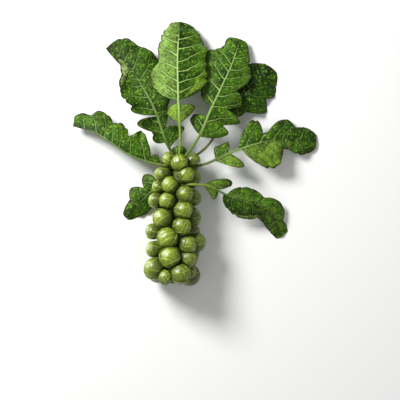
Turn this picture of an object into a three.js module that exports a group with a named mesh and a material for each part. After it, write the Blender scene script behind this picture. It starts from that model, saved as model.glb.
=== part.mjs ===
// A stalk of brussels sprouts, cut and laid on its back: a thick leaning stem with tight
// sprouts wound around it, a leafy bud at the top and eight lobed leaves on long petioles.
// Millimetres. +Y runs up the stalk, +Z is up from the surface it lies on.
import * as THREE from "three";

// The stem, from its cut end at the bottom to where the top bud begins.
const STEM = {
  bottomY: 1,
  topY: 228,
  bottomRadius: 15.5,
  topRadius: 9.5,
  bottomX: -5,
  topX: 6,
  bottomZ: 53.2,
  topZ: 36.2,
  sides: 14,
  rings: 26,
};

// A leaf scar is a shallow flat under each sprout, narrow around the stem.
const SCAR = { depth: 0.9, below: 9, height: 10, narrowness: 0.85 };

// The sprouts wind around the stem, largest at the bottom.
const SPROUTS = {
  count: 48,
  firstY: 15,
  lastY: 227,
  bottomRadius: 18.5,
  topRadius: 13.2,
  swell: 1.1,
  unevenness: 0.05,
  stubLength: 1.5,
  heelSize: 1.8,
  turnDegrees: 102.92,
  startDegrees: 127.7,
  upTiltDegrees: 12,
  segments: 12,
};

// The sprouts that face up or stand at the sides, by their number in the spiral, as
// [x, y, radius]. Each rests on the stem, but never lower at its side than the lift, as a
// share of its reach from the stem's middle.
const SEATS = {
  3: [-17, 12.5, 12.5],
  4: [24, 22, 12],
  6: [-37, 27, 19],
  7: [8, 18, 17.3],
  10: [-10, 48, 18.2],
  11: [21, 44, 15.5],
  13: [-38, 61, 14.6],
  14: [20, 69, 16],
  17: [-14, 82, 18],
  18: [39, 74, 14.4],
  20: [-40, 93, 13.7],
  21: [10, 102, 15.8],
  24: [-23, 117, 17],
  25: [30, 118, 14.4],
  27: [-36, 149, 12.8],
  28: [13, 131, 15.8],
  31: [-15, 148, 14],
  32: [31, 153, 13.7],
  34: [-31, 173, 11.5],
  35: [16, 160, 14.6],
  38: [-10, 177, 14],
  39: [32, 190, 12.6],
  41: [-24, 196, 14],
  42: [17, 194, 14.4],
  45: [6, 216, 14.4],
  48: [-12, 223, 12],
};
const SEAT_LIFT = 0.2;

// Two layers of wrapper leaves show on a sprout as raised edges: angles from its tip,
// in degrees, and how far each layer's lip stands out, as a share of the radius.
const WRAPPERS = {
  inner: { edge: 32, sway: 11, leaves: 2, lip: 0.06 },
  outer: { edge: 72, sway: 17, leaves: 3, lip: 0.08 },
  lipAngle: 5,
  girthAngle: 112,
  heelAngle: 146,
  crownAngle: 14,
};

const BUD = { aboveStem: 5, radius: 13.5, length: 1.0 };

// What touches keeps a hair's breadth apart: a body from the stem, from a petiole, and
// each of two pressed bodies from the plane between them.
const GAP = 0.3;
const PETIOLE_GAP = 0.5;
const CELL_GAP = 0.18;

// A leaf's blade, its petiole and its midrib.
const BLADE = {
  thickness: 1.0,
  petioleRadius: 2.7,
  ribAtTip: 0.9,
  ribTop: 0.6,
  lobeRoundness: 0.48,
  stemStations: 6,
  bladeStations: 28,
};

// Each leaf: where its petiole leaves the stem, its midrib from there to the tip, and its
// lobes and leaflets on either side as [from, to, reach, lean], from and to measured along
// the midrib and lean how far the lobe's end points on towards the leaf's tip. Sides are
// as seen from the stem. fold is how steeply a side falls away at the rib and the margin.
const LEAVES = {
  leaf_top: {
    root: { y: 226, turn: 0 },
    midrib: [[8, 257, 60], [6, 300, 68], [4, 345, 68], [3, 390, 60], [4, 431, 44], [8, 471, 18]],
    left: [[66, 99, 24, 3], [105, 190, 54, 3], [118, 262, 39, 6], [196, 267, 32, 0]],
    right: [[65, 94, 31, 12], [107, 186, 58, 3], [112, 263, 58, 6], [200, 270, 39, 0]],
    fold: { left: [14, 26], right: [10, 30] },
    waves: { left: 7, right: 6.5, height: 3.2, turn: 0.4 },
  },
  leaf_upper_left: {
    root: { y: 226, turn: -50 },
    midrib: [[-18, 255, 51], [-38, 312, 51], [-57, 347, 44], [-89, 398, 24], [-123, 428, 5]],
    left: [
      [33, 57, 23, 0], [50, 80, 42, 12], [85, 128, 42, 3],
      [94, 184, 44, 1], [150, 206, 22, 0], [90, 256, 15, 0],
    ],
    right: [
      [22, 58, 43, 4], [56, 150, 24, 0], [84, 150, 42, 0],
      [110, 190, 38, 4], [126, 227, 52, 8], [188, 256, 38, 0],
    ],
    fold: { left: [8, -55], right: [12, 30] },
    waves: { left: 6, right: 6, height: 3.4, turn: 1.5 },
  },
  leaf_upper_right: {
    root: { y: 224, turn: 50 },
    midrib: [[41, 262, 51], [61, 308, 52], [82, 353, 45], [101, 395, 33], [116, 440, 13]],
    left: [[52, 86, 30, 6], [107, 142, 34, 4], [116, 252, 37, 0], [144, 228, 54, 7], [205, 258, 26, 0]],
    right: [[50, 80, 48, 10], [76, 114, 60, 8], [108, 156, 50, 6], [120, 252, 34, 0], [142, 216, 44, 6]],
    fold: { left: [6, 24], right: [8, 26] },
    waves: { left: 6, right: 7, height: 3.0, turn: 2.6 },
  },
  leaf_back_right: {
    root: { y: 216, turn: 120 },
    midrib: [[52, 242, 32], [83, 283, 29], [117, 328, 23], [155, 366, 13], [173, 389, 3]],
    left: [[110, 178, 41, 0], [125, 246, 38, 0], [150, 241, 52, 2]],
    right: [[120, 158, 20, 3], [138, 194, 49, 9], [150, 246, 32, 0], [176, 226, 38, 5]],
    fold: { left: [10, 26], right: [8, 30] },
    waves: { left: 5, right: 6, height: 2.6, turn: 0.9 },
  },
  leaf_right: {
    root: { y: 205, turn: 85 },
    midrib: [[55, 215, 43], [104, 237, 42], [154, 253, 36], [205, 260, 21], [254, 256, 4]],
    left: [
      [60, 79, 23, 0], [67, 85, 21, 15], [105, 151, 45, 19],
      [115, 256, 20, 0], [149, 208, 37, 22], [198, 258, 24, 0],
    ],
    right: [[58, 87, 34, 25], [110, 188, 50, 8], [130, 256, 19, 0], [190, 258, 28, 0]],
    fold: { left: [6, 30], right: [-12, 10] },
    waves: { left: 6, right: 5, height: 3.2, turn: 2.0 },
  },
  leaf_lower_right: {
    root: { y: 175, turn: 35 },
    midrib: [[29, 177, 71], [58, 174, 69], [90, 159, 58], [128, 144, 44], [163, 131, 29], [191, 83, 3]],
    left: [[49, 77, 24, 34], [98, 178, 30, 5], [110, 248, 21, 0], [158, 216, 30, 8], [206, 252, 19, 0]],
    right: [[52, 80, 20, 12], [92, 190, 33, 0], [120, 250, 23, 3]],
    fold: { left: [10, 34], right: [18, 42] },
    waves: { left: 6, right: 6, height: 2.6, turn: 0.2 },
  },
  leaf_left: {
    root: { y: 208, turn: -85 },
    midrib: [[-45, 216, 46], [-85, 231, 51], [-113, 250, 50], [-150, 273, 39], [-186, 283, 21]],
    left: [[56, 118, 34, 0], [70, 202, 30, 0], [100, 160, 38, 0]],
    right: [
      [24, 46, 18, 0], [42, 108, 52, 3], [80, 204, 32, 0],
      [92, 150, 43, 5], [129, 186, 44, 6], [156, 211, 29, 10],
    ],
    fold: { left: [84, 92], right: [8, 36] },
    waves: { left: 4, right: 6, height: 3.2, turn: 1.1 },
  },
  leaf_lower_left: {
    root: { y: 178, turn: -125 },
    midrib: [[-34, 172, 26], [-60, 150, 15], [-92, 118, 1]],
    left: [[42, 102, 24, 3], [60, 116, 17, 0]],
    right: [[25, 50, 33, 3], [38, 117, 18, 0], [45, 86, 31, 5]],
    fold: { left: [4, 20], right: [6, 26] },
    waves: { left: 4, right: 5, height: 2.0, turn: 0.6 },
  },
};

// A margin this far out waves by the leaf's full wave height.
const WAVE_AT_REACH = 40;

// The stretch of each petiole that passes among the sprouts.
const PETIOLE_STRETCH = { length: 60, pieces: 6 };

const COLOURS = {
  stem: 0x93a866,
  sprout: 0x86a043,
  bud: 0x44661c,
  leaf_top: 0x6a9a38,
  leaf_upper_left: 0x587f2c,
  leaf_upper_right: 0x548224,
  leaf_back_right: 0x3c6314,
  leaf_right: 0x55822a,
  leaf_lower_right: 0x55792a,
  leaf_left: 0x4d7a26,
  leaf_lower_left: 0x456c1a,
};

const group = new THREE.Group();
group.name = "brussels_sprout_stalk";

const radians = THREE.MathUtils.degToRad;
const lerp = THREE.MathUtils.lerp;
const clamp = THREE.MathUtils.clamp;

function vector(values) {
  return new THREE.Vector3(values[0], values[1], values[2]);
}

// Makes one closed mesh of points and triangles and adds it to the part.
function addMesh(name, points, triangles, colour) {
  const geometry = new THREE.BufferGeometry();
  const positions = points.flatMap((point) => [point.x, point.y, point.z]);
  geometry.setAttribute("position", new THREE.Float32BufferAttribute(positions, 3));
  geometry.setIndex(triangles.flat());
  geometry.computeVertexNormals();
  const material = new THREE.MeshStandardMaterial({ color: colour, roughness: 0.6, metalness: 0 });
  const mesh = new THREE.Mesh(geometry, material);
  mesh.name = name;
  group.add(mesh);
  return mesh;
}

// Joins rings of equal length into a closed skin, with a point at each end of the row.
function skinOfRings(rings, firstPoint, lastPoint) {
  const points = [...rings.flat(), firstPoint, lastPoint];
  const size = rings[0].length;
  const firstIndex = points.length - 2;
  const lastIndex = points.length - 1;
  const triangles = [];
  for (let ring = 0; ring + 1 < rings.length; ring += 1) {
    for (let i = 0; i < size; i += 1) {
      const a = ring * size + i;
      const b = ring * size + ((i + 1) % size);
      triangles.push([a, b, b + size], [a, b + size, a + size]);
    }
  }
  const lastRing = (rings.length - 1) * size;
  for (let i = 0; i < size; i += 1) {
    const next = (i + 1) % size;
    triangles.push([firstIndex, next, i]);
    triangles.push([lastIndex, lastRing + i, lastRing + next]);
  }
  return { points, triangles };
}

// The stem's centre line and radius at a height up the stalk.
function stemShare(y) {
  return Math.max((y - STEM.bottomY) / (STEM.topY - STEM.bottomY), 0);
}

function stemCentre(y) {
  const share = stemShare(y);
  const x = lerp(STEM.bottomX, STEM.topX, share);
  const z = lerp(STEM.bottomZ, STEM.topZ, share);
  return new THREE.Vector3(x, y, z);
}

function stemRadius(y) {
  return lerp(STEM.bottomRadius, STEM.topRadius, stemShare(y));
}

// Sprout centres: a spiral whose turns close up as the sprouts get smaller. The step up
// the stem from one sprout to the next is the ring's share that one sprout covers.
function sproutSpots() {
  const sizes = [];
  for (let k = 0; k < SPROUTS.count; k += 1) {
    const radius = lerp(SPROUTS.bottomRadius, SPROUTS.topRadius, k / (SPROUTS.count - 1));
    const reach = stemRadius(SPROUTS.firstY) + SPROUTS.stubLength + radius;
    sizes.push({ radius, step: (radius * radius) / reach });
  }
  const allSteps = sizes.slice(1).reduce((sum, size) => sum + size.step, 0);
  let y = SPROUTS.firstY;
  return sizes.map((size, k) => {
    if (k > 0) {
      y += ((SPROUTS.lastY - SPROUTS.firstY) * size.step) / allSteps;
    }
    if (SEATS[k + 1]) {
      return seatedSpot(...SEATS[k + 1]);
    }
    const turn = radians(SPROUTS.startDegrees + k * SPROUTS.turnDegrees);
    const outward = new THREE.Vector3(Math.sin(turn), 0, Math.cos(turn));
    const reach = stemRadius(y) + SPROUTS.stubLength + size.radius;
    const centre = stemCentre(y).addScaledVector(outward, reach);
    const uneven = 1 + SPROUTS.unevenness * Math.sin(2.3 * k);
    return { centre, outward, radius: size.radius * SPROUTS.swell * uneven };
  });
}

// A seated sprout's height follows from its reach and how far it stands to one side.
function seatedSpot(x, y, radius) {
  const middle = stemCentre(y);
  const aside = x - middle.x;
  const reach = stemRadius(y) + SPROUTS.stubLength + radius;
  const height = Math.sqrt(Math.max(reach ** 2 - aside ** 2, (SEAT_LIFT * reach) ** 2));
  const outward = new THREE.Vector3(aside, 0, height).normalize();
  const centre = new THREE.Vector3(x, y, middle.z + height);
  return { centre, outward, radius: radius * SPROUTS.swell };
}

// A plane across the way from one point to another, at a distance from the first.
function planeFacing(from, to, distance) {
  const normal = to.clone().sub(from).normalize();
  return { normal, offset: distance };
}

// The planes that keep a sprout clear of its neighbours, the stem, the petioles and the
// surface below. Offsets are measured from the sprout's own centre.
function cellPlanes(spot, neighbours, petioles) {
  const planes = [{ normal: new THREE.Vector3(0, 0, -1), offset: spot.centre.z }];
  for (const other of neighbours) {
    const distance = spot.centre.distanceTo(other.centre);
    if (other !== spot && distance < 1.2 * (spot.radius + other.radius)) {
      const share = spot.radius / (spot.radius + other.radius);
      planes.push(planeFacing(spot.centre, other.centre, distance * share - CELL_GAP));
    }
  }
  for (const line of petioles) {
    for (let i = 0; i + 1 < line.length; i += 1) {
      const nearest = new THREE.Vector3();
      new THREE.Line3(line[i], line[i + 1]).closestPointToPoint(spot.centre, true, nearest);
      const distance = spot.centre.distanceTo(nearest);
      if (distance < 1.4 * spot.radius) {
        const offset = distance - BLADE.petioleRadius - PETIOLE_GAP;
        planes.push(planeFacing(spot.centre, nearest, offset));
      }
    }
  }
  return planes;
}

// The plane that a sprout's heel meets in front of the stem.
function stemPlane(spot) {
  const axisPoint = stemCentre(spot.centre.y);
  const inward = spot.outward.clone().negate();
  const distance = spot.centre.distanceTo(axisPoint);
  return { normal: inward, offset: distance - stemRadius(spot.centre.y - spot.radius) - GAP };
}

// How far a body may reach from its centre in a direction before it meets a plane.
function roomInCell(direction, planes) {
  let room = Infinity;
  for (const plane of planes) {
    const facing = plane.normal.dot(direction);
    if (facing > 1e-6) {
      room = Math.min(room, plane.offset / facing);
    }
  }
  return room;
}

// The rows of a sprout from its tip to its heel, each as an angle from the tip and a
// size. A wrapper's edge sways around the sprout, and its lip stands out over the layer
// inside it.
function sproutRows(around, turn) {
  const { inner, outer, lipAngle } = WRAPPERS;
  const innerEdge = inner.edge + inner.sway * Math.cos(inner.leaves * around + turn);
  const outerEdge = outer.edge + outer.sway * Math.cos(outer.leaves * around + 2 * turn);
  return [
    [WRAPPERS.crownAngle, 0.97],
    [innerEdge - lipAngle, 0.95],
    [innerEdge + lipAngle, 0.95 + inner.lip],
    [outerEdge - lipAngle, 0.96],
    [outerEdge + lipAngle, 0.96 + outer.lip],
    [WRAPPERS.girthAngle, 1.0],
    [WRAPPERS.heelAngle, 0.93],
  ];
}

// A sprout: rows around its axis, pulled in where it presses on a plane. Its heel runs in
// to the stem.
function sproutBody(centre, axis, radius, length, planes, turn, heelSize) {
  const side = new THREE.Vector3(0, 1, 0).cross(axis);
  if (side.lengthSq() < 0.01) {
    side.set(1, 0, 0);
  }
  side.normalize();
  const across = axis.clone().cross(side);
  const place = (angle, around, size) => {
    const tilt = radians(angle);
    const direction = side.clone().multiplyScalar(Math.sin(tilt) * Math.cos(around));
    direction.addScaledVector(across, Math.sin(tilt) * Math.sin(around));
    direction.addScaledVector(axis, Math.cos(tilt) * length);
    const reach = radius * size * direction.length();
    direction.normalize();
    return centre.clone().addScaledVector(direction, Math.min(reach, roomInCell(direction, planes)));
  };
  const columns = [];
  for (let i = 0; i < SPROUTS.segments; i += 1) {
    const around = (2 * Math.PI * i) / SPROUTS.segments;
    columns.push(sproutRows(around, turn).map(([angle, size]) => place(angle, around, size)));
  }
  const rings = columns[0].map((_, row) => columns.map((column) => column[row]).reverse());
  return skinOfRings(rings, place(0, 0, 0.98), place(180, 0, heelSize));
}

function addSprouts(spots, petioles, bud) {
  spots.forEach((spot, k) => {
    const planes = [...cellPlanes(spot, [...spots, bud], petioles), stemPlane(spot)];
    const axis = spot.outward.clone();
    axis.y = Math.tan(radians(SPROUTS.upTiltDegrees));
    axis.normalize();
    const body = sproutBody(spot.centre, axis, spot.radius, 1, planes, 2.4 * k, SPROUTS.heelSize);
    const name = `sprout_${String(k + 1).padStart(2, "0")}`;
    addMesh(name, body.points, body.triangles, COLOURS.sprout);
  });
}

// The bud sits on the stem's top end, between the petioles and the top sprouts.
function budSpot() {
  const centre = stemCentre(STEM.topY + BUD.aboveStem);
  return { centre, radius: BUD.radius, outward: new THREE.Vector3(0, 1, 0) };
}

function addBud(bud, spots, petioles) {
  const planes = cellPlanes(bud, spots, petioles);
  planes.push({ normal: new THREE.Vector3(0, -1, 0), offset: BUD.aboveStem - GAP });
  const body = sproutBody(bud.centre, bud.outward, bud.radius, BUD.length, planes, 1, 0.9);
  addMesh("top_bud", body.points, body.triangles, COLOURS.bud);
}

function isOnScar(spots, y, outward) {
  return spots.some((spot) => {
    const heightApart = Math.abs(spot.centre.y - SCAR.below - y);
    return heightApart < SCAR.height / 2 && spot.outward.dot(outward) > SCAR.narrowness;
  });
}

// The stem: a tapered leaning column with shallow leaf scars that wind with the sprouts.
function addStem(spots) {
  const rings = [];
  for (let ring = 0; ring < STEM.rings; ring += 1) {
    const y = lerp(STEM.bottomY, STEM.topY, ring / (STEM.rings - 1));
    const centre = stemCentre(y);
    const points = [];
    for (let i = 0; i < STEM.sides; i += 1) {
      const turn = (2 * Math.PI * i) / STEM.sides;
      const outward = new THREE.Vector3(Math.sin(turn), 0, Math.cos(turn));
      const radius = stemRadius(y) - (isOnScar(spots, y, outward) ? SCAR.depth : 0);
      points.push(centre.clone().addScaledVector(outward, radius));
    }
    rings.push(points);
  }
  const body = skinOfRings(rings, stemCentre(STEM.bottomY), stemCentre(STEM.topY));
  addMesh("stem", body.points, body.triangles, COLOURS.stem);
}

// How far a side of a leaf reaches at a distance along its midrib: the furthest of its
// round lobes there, and no less than the rib. The margin leans on by that lobe's lean.
function sideMargin(lobes, along, ribRadius) {
  let margin = { reach: ribRadius, lean: 0 };
  for (const [from, to, lobeReach, lobeLean] of lobes) {
    const share = (along - from) / (to - from);
    const fullness = share > 0 && share < 1 ? Math.sin(Math.PI * share) ** BLADE.lobeRoundness : 0;
    if (lobeReach * fullness > margin.reach) {
      margin = { reach: lobeReach * fullness, lean: lobeLean * fullness };
    }
  }
  return margin;
}

// A leaf's middle surface at a station, a distance out from the midrib on one side. The
// side bends along an arc from its slope at the rib to its slope at the margin, and its
// margin waves up and down.
function bladePoint(leaf, station, sideName, out) {
  const sign = sideName === "left" ? -1 : 1;
  const [ribFold, marginFold] = leaf.fold[sideName];
  const { reach, lean } = station.margin[sideName];
  const share = out / reach;
  const slope = radians(lerp(ribFold, marginFold, share / 2));
  const wave = leaf.waves[sideName] * 2 * Math.PI * station.share + leaf.waves.turn * (sign + 2);
  const lift = leaf.waves.height * Math.sin(wave) * (out / WAVE_AT_REACH) * share;
  const point = station.centre.clone();
  point.addScaledVector(station.across, sign * out * Math.cos(slope));
  point.addScaledVector(station.up, lift - out * Math.sin(slope));
  point.addScaledVector(station.tangent, lean * share ** 1.5);
  return point;
}

// A leaf's midrib starts on the stem's surface.
function midribCurve(leaf) {
  const turn = radians(leaf.root.turn);
  const outward = new THREE.Vector3(Math.sin(turn), 0, Math.cos(turn));
  const root = stemCentre(leaf.root.y).addScaledVector(outward, stemRadius(leaf.root.y) + GAP);
  return new THREE.CatmullRomCurve3([root, ...leaf.midrib.map(vector)], false, "centripetal");
}

// Stations along a leaf's midrib: few on the petiole, many on the lobed blade.
function leafStations(leaf) {
  const curve = midribCurve(leaf);
  const length = curve.getLength();
  const firstLobe = Math.min(...[...leaf.left, ...leaf.right].map((lobe) => lobe[0]));
  const distances = [];
  for (let i = 0; i < BLADE.stemStations; i += 1) {
    distances.push((firstLobe * i) / BLADE.stemStations);
  }
  for (let i = 0; i < BLADE.bladeStations; i += 1) {
    distances.push(lerp(firstLobe, length, i / (BLADE.bladeStations - 1)));
  }
  return distances.map((along) => {
    const share = clamp(along / length, 0, 1);
    const tangent = curve.getTangentAt(share);
    const across = new THREE.Vector3(tangent.y, -tangent.x, 0).normalize();
    const up = across.clone().cross(tangent).normalize();
    const rib = lerp(BLADE.petioleRadius, BLADE.ribAtTip, share ** 0.8);
    const margin = {
      left: sideMargin(leaf.left, along, rib),
      right: sideMargin(leaf.right, along, rib),
    };
    return { share, centre: curve.getPointAt(share), tangent, across, up, rib, margin };
  });
}

// Seven places across a leaf from its left margin to its right one, as side and distance.
function placesAcross(station) {
  const places = [];
  for (const sideName of ["left", "right"]) {
    const { reach } = station.margin[sideName];
    const inner = Math.min(station.rib, reach / 2);
    const half = [[sideName, inner], [sideName, (inner + reach) / 2], [sideName, reach]];
    places.push(...(sideName === "left" ? half.reverse() : half));
    if (sideName === "left") {
      places.push(["left", 0]);
    }
  }
  return places;
}

// The blade is a thin sheet, thickened around the rib into a round stalk.
function halfThickness(station, out) {
  const round = station.rib * Math.sqrt(Math.max(0, 1 - (out / station.rib) ** 2));
  return Math.max(BLADE.thickness / 2, round);
}

// Keeps a point outside the stem, where a petiole meets it.
function clearOfStem(point) {
  const centre = stemCentre(point.y);
  const outward = new THREE.Vector3(point.x - centre.x, 0, point.z - centre.z);
  const wanted = stemRadius(point.y) + GAP;
  if (point.y < STEM.topY + 1 && outward.length() < wanted) {
    outward.setLength(wanted);
    point.set(centre.x + outward.x, point.y, centre.z + outward.z);
  }
  return point;
}

function addLeaf(name, leaf) {
  const stations = leafStations(leaf);
  const grid = stations.map((station) =>
    placesAcross(station).map(([sideName, out]) => {
      const half = halfThickness(station, out);
      const point = bladePoint(leaf, station, sideName, out);
      point.z = Math.max(point.z, half);
      return { point, half, out };
    }),
  );
  const rings = grid.map((row, i) => {
    const before = grid[Math.max(i - 1, 0)];
    const after = grid[Math.min(i + 1, grid.length - 1)];
    const normals = row.map((_, j) => {
      const along = after[j].point.clone().sub(before[j].point);
      const across = row[Math.min(j + 1, row.length - 1)].point.clone();
      across.sub(row[Math.max(j - 1, 0)].point);
      return across.cross(along).normalize();
    });
    const top = row.map(({ point, half, out }, j) => {
      const above = out < stations[i].rib && half > BLADE.thickness ? half * BLADE.ribTop : half;
      return point.clone().addScaledVector(normals[j], above);
    });
    const bottom = row.map(({ point, half }, j) => point.clone().addScaledVector(normals[j], -half));
    return [...top, ...bottom.reverse()].map(clearOfStem);
  });
  const first = clearOfStem(stations[0].centre.clone());
  const last = grid[grid.length - 1][3].point.clone();
  const body = skinOfRings(rings, first, last);
  addMesh(name, body.points, body.triangles, COLOURS[name]);
}

// The stretch of a petiole that passes among the sprouts, as a line of points.
function petioleLine(leaf) {
  const curve = midribCurve(leaf);
  const length = curve.getLength();
  const points = [];
  for (let i = 0; i <= PETIOLE_STRETCH.pieces; i += 1) {
    const along = (PETIOLE_STRETCH.length * i) / PETIOLE_STRETCH.pieces;
    points.push(curve.getPointAt(along / length));
  }
  return points;
}

const spots = sproutSpots();
const petioles = Object.values(LEAVES).map(petioleLine);
const bud = budSpot();
addStem(spots);
addBud(bud, spots, petioles);
for (const [name, leaf] of Object.entries(LEAVES)) {
  addLeaf(name, leaf);
}
addSprouts(spots, petioles, bud);

// The origin is under the middle of the part, on the surface it lies on.
const box = new THREE.Box3().setFromObject(group);
const middle = box.getCenter(new THREE.Vector3());
group.position.set(-middle.x, -middle.y, -box.min.z);
group.updateMatrixWorld(true);

export default group;
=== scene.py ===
# A cut stalk of brussels sprouts lying on a pale table, seen from straight above.
import bpy
import numpy as np
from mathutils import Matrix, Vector


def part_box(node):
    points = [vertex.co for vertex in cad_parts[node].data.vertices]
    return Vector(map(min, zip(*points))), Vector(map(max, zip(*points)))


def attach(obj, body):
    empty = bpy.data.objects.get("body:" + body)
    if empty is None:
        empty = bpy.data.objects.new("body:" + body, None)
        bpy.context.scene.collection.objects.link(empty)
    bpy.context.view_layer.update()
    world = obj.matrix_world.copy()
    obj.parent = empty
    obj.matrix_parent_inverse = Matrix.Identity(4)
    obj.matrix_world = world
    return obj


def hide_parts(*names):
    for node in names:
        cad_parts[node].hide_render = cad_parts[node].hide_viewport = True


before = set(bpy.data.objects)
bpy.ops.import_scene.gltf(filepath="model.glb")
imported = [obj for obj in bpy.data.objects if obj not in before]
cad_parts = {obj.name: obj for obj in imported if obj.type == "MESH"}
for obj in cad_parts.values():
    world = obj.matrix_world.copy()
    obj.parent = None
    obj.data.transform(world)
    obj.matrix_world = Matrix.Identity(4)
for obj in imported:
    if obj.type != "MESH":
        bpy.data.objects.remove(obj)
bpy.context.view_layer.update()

# The stalk's shape is worked out in millimetres from its own origin, as the solids are.
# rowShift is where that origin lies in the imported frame.
stalk = {
    "bottomY": 1, "topY": 228,
    "bottomRadius": 15.5, "topRadius": 9.5,
    "bottomX": -5, "topX": 6,
    "bottomZ": 53.2, "topZ": 36.2,
    "gap": 0.3,
}
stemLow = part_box("stem")[0]
rowShift = np.array([-33.946, stemLow[1] * 1000 - stalk["bottomY"], 0.0])


# Shares, blends, lengths and unit vectors used all through

join = np.concatenate


def blend(low, high, share):
    return low + (high - low) * share


def smooth(share):                       # 0 to 1 with flat ends: 3 x squared less 2 x cubed
    share = np.clip(share, 0, 1)
    return share * share * (3 - 2 * share)


def lengths(vectors):
    return np.linalg.norm(vectors, axis=-1)


def unit(vectors):
    return vectors / lengths(vectors)[..., None]


def stemShare(y):
    return np.maximum((y - stalk["bottomY"]) / (stalk["topY"] - stalk["bottomY"]), 0)


# The stem's centre line: a straight lean from the cut end to the top
def stemCentre(y):
    share = stemShare(np.asarray(y, float))
    x = blend(stalk["bottomX"], stalk["topX"], share)
    z = blend(stalk["bottomZ"], stalk["topZ"], share)
    return np.stack([x, y + 0 * share, z], -1)


def stemRadius(y):
    return blend(stalk["bottomRadius"], stalk["topRadius"], stemShare(np.asarray(y, float)))


def addObject(name, data):
    thing = bpy.data.objects.new(name, data)
    bpy.context.collection.objects.link(thing)
    return thing


# The camera looks straight down, as the photograph looks at the stalk

view = {
    "mmPerPixel": 1.8, "framePixels": 400,
    "originPixel": (176, 283),           # the stalk's own origin in the photograph
    "height": 3.6, "aimHeight": 0.03, "sensor": 36,
}


def makeCamera():
    half = view["framePixels"] / 2
    x = (half - view["originPixel"][0]) * view["mmPerPixel"] + rowShift[0]
    y = (view["originPixel"][1] - half) * view["mmPerPixel"] + rowShift[1]
    data = bpy.data.cameras.new("camera")
    data.sensor_width = view["sensor"]
    width = view["framePixels"] * view["mmPerPixel"] / 1000
    data.lens = view["sensor"] * view["height"] / width
    camera = addObject("camera", data)
    camera.location = (x / 1000, y / 1000, view["height"] + view["aimHeight"])
    bpy.context.scene.camera = camera
    print("camera set")


makeCamera()


# Meshes: grids of points joined by four-sided faces

def gridFaces(rows, columns, first=0):
    corner = first + np.arange(rows - 1)[:, None] * columns + np.arange(columns - 1)[None, :]
    faces = np.stack([corner, corner + 1, corner + columns + 1, corner + columns], -1)
    return faces.reshape(-1, 4)


# Two grids of the same size, outer and inner, closed by a rim all round. With rows along
# and columns across, the outer faces follow columns x rows.
def shellFaces(rows, columns, first=0):
    size = rows * columns
    outer = gridFaces(rows, columns, first)
    inner = gridFaces(rows, columns, first + size)[:, ::-1]
    index = first + np.arange(size).reshape(rows, columns)
    edges = [index[0, :], index[:, -1], index[-1, ::-1], index[::-1, 0]]
    rim = [np.stack([e[1:], e[:-1], e[:-1] + size, e[1:] + size], -1) for e in edges]
    return outer, inner, join(rim)


# Closed rings, one row after another, and triangles to a point past each end
def ringFaces(rows, columns):
    ring = np.arange(columns)
    after = (ring + 1) % columns
    step = np.arange(rows - 1)[:, None] * columns
    quads = np.stack([step + ring, step + columns + ring, step + columns + after, step + after], -1)
    last, pole = (rows - 1) * columns, 0 * ring + rows * columns
    ends = join([np.stack([pole, ring, after], -1),
                           np.stack([pole + 1, last + after, last + ring], -1)])
    return quads.reshape(-1, 4), ends


# A piece: points in millimetres, faces, and for each corner a place on the vein pattern
def makePiece(name, points, faces, veinUv, place, materials, materialIndex, node, shares=()):
    mesh = bpy.data.meshes.new(name)
    places = (points + rowShift) / 1000
    mesh.from_pydata(places.tolist(), [], [face for group in faces for face in group.tolist()])
    mesh.update()
    uvMap = mesh.uv_layers.new(name="veins")
    uvMap.data.foreach_set("uv", veinUv.astype(np.float32).ravel())
    attribute = mesh.attributes.new("leafPlace", "FLOAT_VECTOR", "POINT")
    attribute.data.foreach_set("vector", place.astype(np.float32).ravel())
    for label, values in dict(shares).items():
        attribute = mesh.attributes.new(label, "FLOAT", "POINT")
        attribute.data.foreach_set("value", values.astype(np.float32))
    mesh.polygons.foreach_set("material_index", materialIndex.astype(np.int32))
    mesh.polygons.foreach_set("use_smooth", np.ones(len(mesh.polygons), bool))
    for material in materials:
        mesh.materials.append(material)
    piece = addObject(name, mesh)
    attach(piece, "root")
    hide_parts(node)


# Materials: small steps of a node tree, which each finds through the sockets it joins

black = (0, 0, 0)


def linear(red, green, blue):            # a picture's colour, 0 to 255, as light
    share = np.array([red, green, blue]) / 255
    light = np.where(share < 0.04045, share / 12.92, ((share + 0.055) / 1.055) ** 2.4)
    return (*light.tolist(), 1.0)


def newSkin(name):                       # a material, its node tree and its shader
    material = bpy.data.materials.new(name)
    material.use_nodes = True
    return material, material.node_tree, material.node_tree.nodes["Principled BSDF"]


def isSocket(value):
    return isinstance(value, bpy.types.NodeSocket)


def put(node, key, value):               # an input by its name or number
    socket = node.inputs[key]
    if isSocket(value):
        socket.id_data.links.new(value, socket)
    else:
        socket.default_value = value


def addNode(tree, kind, inputs=(), **settings):
    node = tree.nodes.new("ShaderNode" + kind)
    for key, value in settings.items():
        setattr(node, key, value)
    for key, value in dict(inputs).items():
        put(node, key, value)
    return node


def calc(operation, *values):
    tree = next(value for value in values if isSocket(value)).id_data
    return addNode(tree, "Math", enumerate(values), operation=operation).outputs[0]


def times(first, second):
    return calc("MULTIPLY", first, second)


def scaled(value, factor, added):
    return calc("MULTIPLY_ADD", value, factor, added)


def rest(value):                         # what a share leaves of one
    return calc("SUBTRACT", 1.0, value)


def maskOf(value, low, high):            # 1 up to low, 0 from high
    return rest(ramp(value, low, high))


# A share that runs from 0 to 1 as a value goes from low to high
def ramp(value, low, high, top=1.0):
    inputs = {"Value": value, "From Min": low, "From Max": high, "To Max": top}
    node = addNode(value.id_data, "MapRange", inputs, interpolation_type="SMOOTHSTEP")
    return node.outputs[0]


def mixColour(share, first, second):     # each a socket or a picture's colour
    tree = next(value for value in (share, first) if isSocket(value)).id_data
    first, second = (value if isSocket(value) else linear(*value) for value in (first, second))
    inputs = {0: share, 6: first, 7: second}
    return addNode(tree, "Mix", inputs, data_type="RGBA").outputs[2]


def tint(base, share, strength, colour):             # a share of another colour laid over
    return mixColour(times(share, strength), base, colour)


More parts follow.
